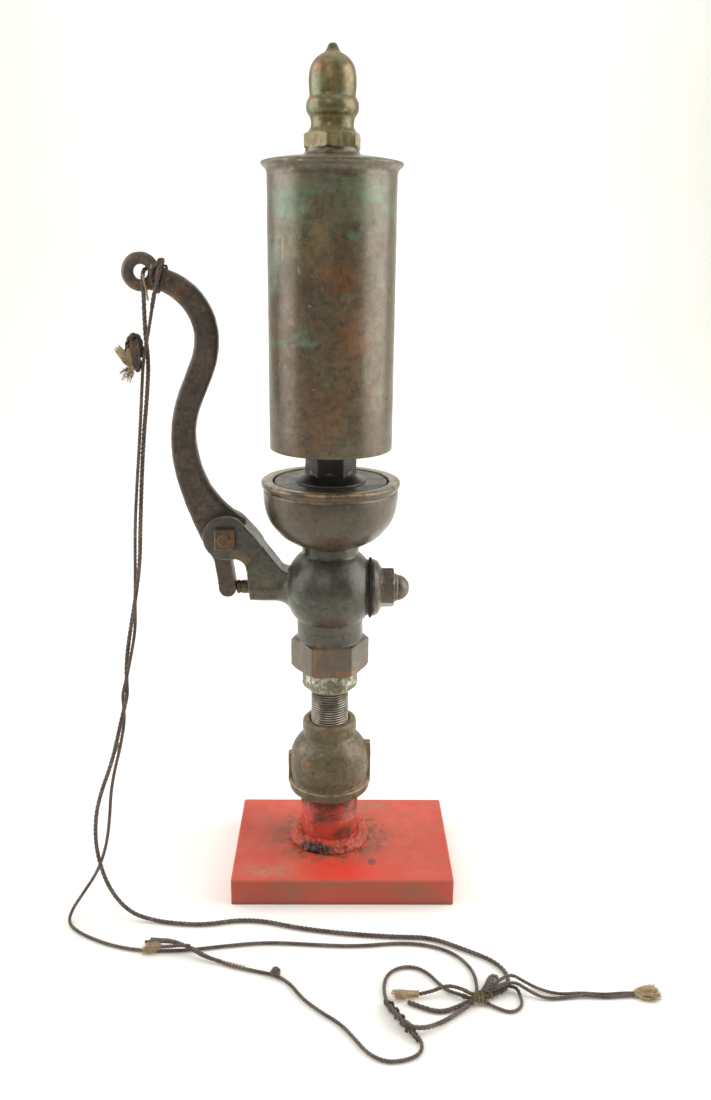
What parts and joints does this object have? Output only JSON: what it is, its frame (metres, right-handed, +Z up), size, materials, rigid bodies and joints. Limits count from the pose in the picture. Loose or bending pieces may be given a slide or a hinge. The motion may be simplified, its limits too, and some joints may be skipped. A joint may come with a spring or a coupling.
{
  "type": "steam whistle",
  "caption": "Single-bell steam whistle with a lever valve and pull cord, on a pipe riser welded to a red steel plate.",
  "frame": {"origin": "on the whistle's vertical axis, at the underside of the base plate", "axes": "+Z up along the whistle's axis, -X towards the lever, +X towards the valve cap, -Y towards the front, where the cord lies"},
  "size_m": [0.3865, 0.2538, 0.56],
  "materials": {
    "plate_steel": "worn red oxide paint, satin",
    "riser_steel": "red oxide paint with scorched rust",
    "weld_steel": "painted weld bead with spatter",
    "reducer_iron": "dark oily patina, matt",
    "nipple_steel": "dark oxidised threads",
    "bushing_bronze": "pale green-grey patina",
    "valve_bronze": "dark grey-green cast bronze",
    "lever_iron": "rust-brown, rough",
    "bolt_steel": "rusted, matt",
    "cap_bronze": "dark worn bronze",
    "cup_bronze": "dark patina with worn rim",
    "hex_bronze": "near-black patina",
    "bell_brass": "brown patina with verdigris near the top",
    "acorn_brass": "olive-gold worn patina",
    "stem_brass": "dull",
    "spring_steel": "oiled",
    "disc_rubber": "matt",
    "gasket_fibre": "matt",
    "cord_twine": "dark tarred twine",
    "cord_fray": "frayed tan fibre"
  },
  "bodies": {
    "base": {"base_plate": "plate_steel", "base_weld": "weld_steel", "riser_pipe": "riser_steel", "bell_reducer": "reducer_iron", "pipe_nipple": "nipple_steel", "hex_bushing": "bushing_bronze", "valve_body": "valve_bronze", "valve_seat": "valve_bronze", "stem_bush": "valve_bronze", "return_spring": "spring_steel", "cap_gasket": "gasket_fibre", "valve_cap": "cap_bronze", "pivot_bolt": "bolt_steel", "pivot_washer": "bolt_steel", "pivot_nut": "bolt_steel", "whistle_cup": "cup_bronze", "languid_plate": "hex_bronze", "stem_hex": "hex_bronze", "bell_stem": "stem_brass", "bell_shell": "bell_brass", "bell_head": "bell_brass", "acorn_nut": "acorn_brass", "cord_line_a": "cord_twine", "cord_line_b": "cord_twine", "cord_line_c": "cord_twine", "cord_line_g": "cord_twine", "cord_end_e": "cord_twine", "cord_loop_f": "cord_twine", "cord_loop_i": "cord_twine", "cord_bight_h": "cord_twine", "cord_tail_1": "cord_twine", "cord_tail_2": "cord_twine", "upper_knot": "cord_fray", "splice_knot": "cord_twine", "round_knot": "cord_twine", "frayed_sleeve": "cord_fray", "bow_knot": "cord_twine", "side_knot": "cord_twine", "tassel": "cord_fray"},
    "lever": {"whistle_lever": "lever_iron", "cord_hitch": "cord_twine"},
    "valve": {"valve_stem": "stem_brass", "disc_holder": "stem_brass", "disc_washer": "disc_rubber", "disc_nut": "stem_brass"}
  },
  "joints": [
    {"name": "lever_pull", "type": "hinge", "parent": "base", "child": "lever", "pos_m": [-0.071, 0, 0.253], "axis": [0, -1, 0], "range_deg": [0, 9], "deforming": ["cord_line_a", "cord_line_b", "upper_knot"]},
    {"name": "valve_travel", "type": "slide", "parent": "base", "child": "valve", "axis": [1, 0, 0], "range_m": [0, 0.006], "stiffness_N_per_m": 1500, "springref_m": -0.004, "deforming": ["return_spring"]}
  ],
  "couplings": [
    {"joint": "valve_travel", "follows": "lever_pull", "m_per_rad": 0.038}
  ]
}
